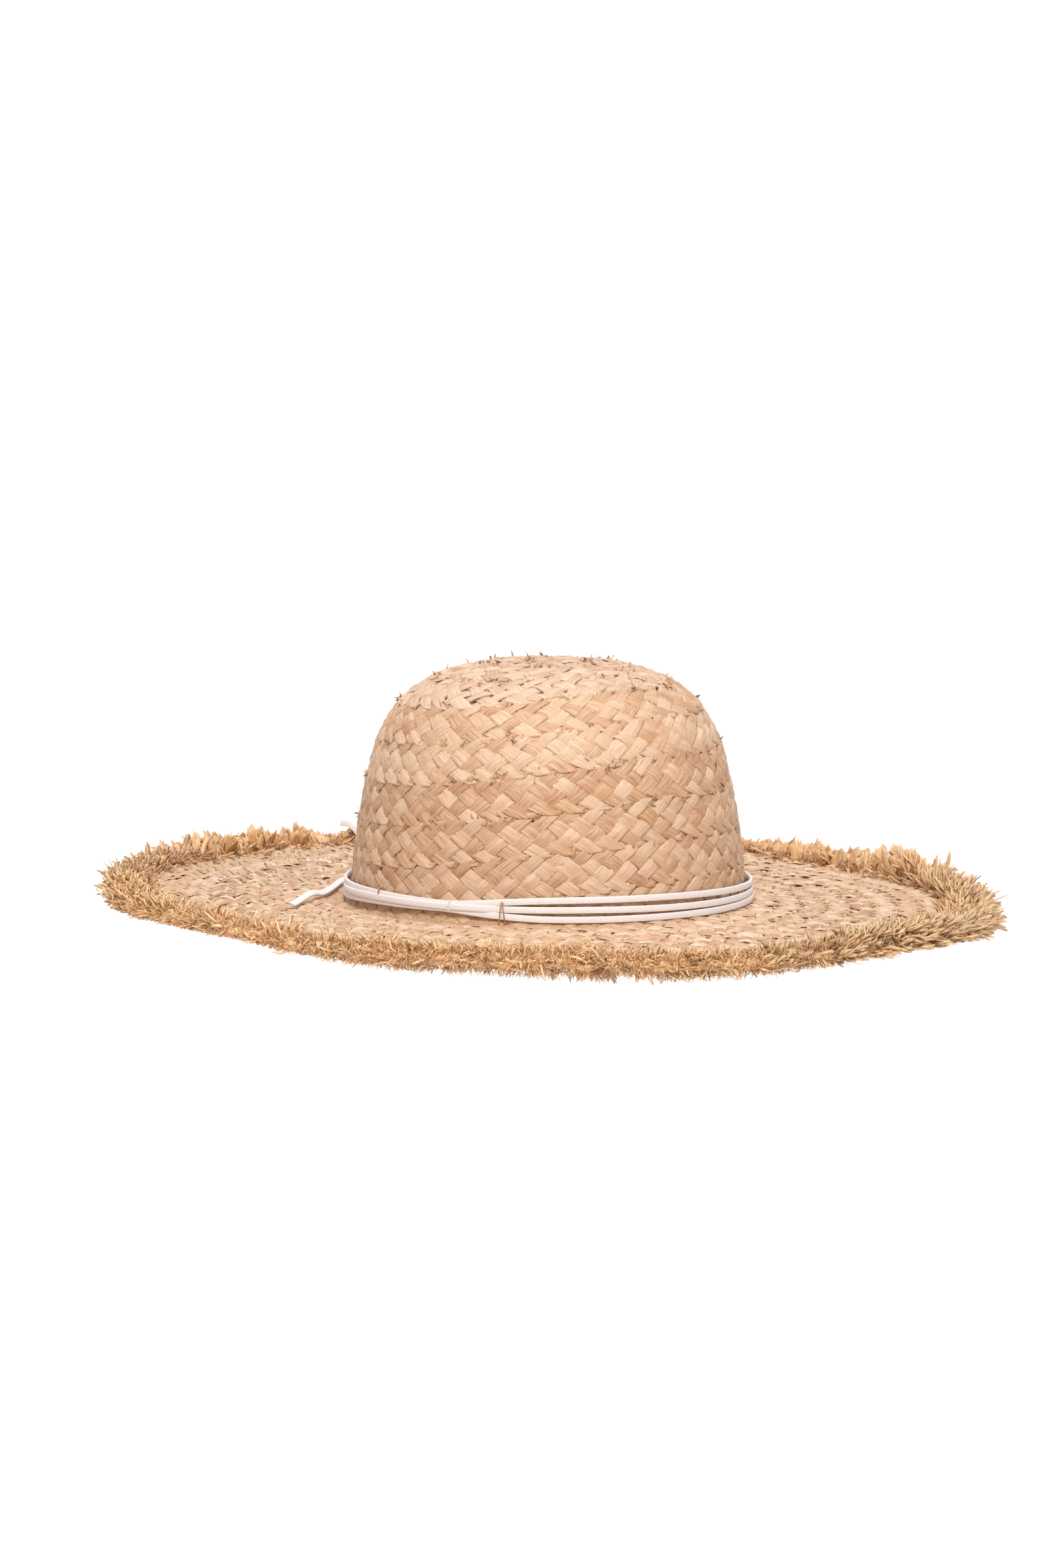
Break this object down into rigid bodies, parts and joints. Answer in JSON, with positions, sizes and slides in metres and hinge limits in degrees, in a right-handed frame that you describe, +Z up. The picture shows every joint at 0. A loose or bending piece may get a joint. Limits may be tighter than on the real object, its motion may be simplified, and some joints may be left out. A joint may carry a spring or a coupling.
{
  "type": "straw sun hat",
  "caption": "Wide-brimmed sun hat sewn from plaited raffia, with a rounded crown, a frayed brim edge and a white lace tied round the crown.",
  "frame": {"origin": "under the middle of the crown, on the surface that the lowest frayed ends rest on", "axes": "+Z up through the crown, front towards -Y, +X towards the wearer's left, which is on the right in a front view"},
  "size_m": [0.43, 0.43, 0.1297],
  "materials": {
    "crown_raffia": "close flat plait of natural raffia ribbons, matt with a faint straw sheen, fine lengthwise grain",
    "brim_raffia": "looser and paler plait of natural raffia with small open gaps, matt",
    "frayed_raffia": "dense frayed raffia blades, golden tan with darker brown roots, matt",
    "raffia_strand": "single thin raffia strands used as sewing thread, matt",
    "white_lace": "soft flat white cotton lace with a very fine weave and rounded edges, matt",
    "cotton_tape": "cream ribbed cotton tape, matt",
    "sewing_thread": "thin white twisted sewing thread, matt"
  },
  "bodies": {
    "root": {"crown_tip": "crown_raffia", "crown_turn_1": "crown_raffia", "crown_turn_2": "crown_raffia", "crown_turn_3": "crown_raffia", "crown_turn_4": "crown_raffia", "crown_turn_5": "crown_raffia", "crown_turn_6": "crown_raffia", "crown_turn_7": "crown_raffia", "crown_turn_8": "crown_raffia", "crown_turn_9": "crown_raffia", "brim_turn_1": "brim_raffia", "brim_turn_2": "brim_raffia", "brim_turn_3": "brim_raffia", "brim_turn_4": "brim_raffia", "brim_turn_5": "brim_raffia", "brim_turn_6": "brim_raffia", "brim_turn_7": "brim_raffia", "brim_turn_8": "brim_raffia", "fringe_upper": "frayed_raffia", "fringe_lower": "frayed_raffia", "crown_thread": "raffia_strand", "brim_thread": "raffia_strand", "sweatband": "cotton_tape", "sweatband_stitching": "sewing_thread", "lace_wrap_bottom": "white_lace", "lace_wrap_middle": "white_lace", "lace_wrap_top": "white_lace", "lace_knot": "white_lace", "lace_tail_front": "white_lace", "lace_tail_rear": "white_lace", "binding_thread": "sewing_thread", "raffia_tacks": "raffia_strand"}
  },
  "joints": []
}
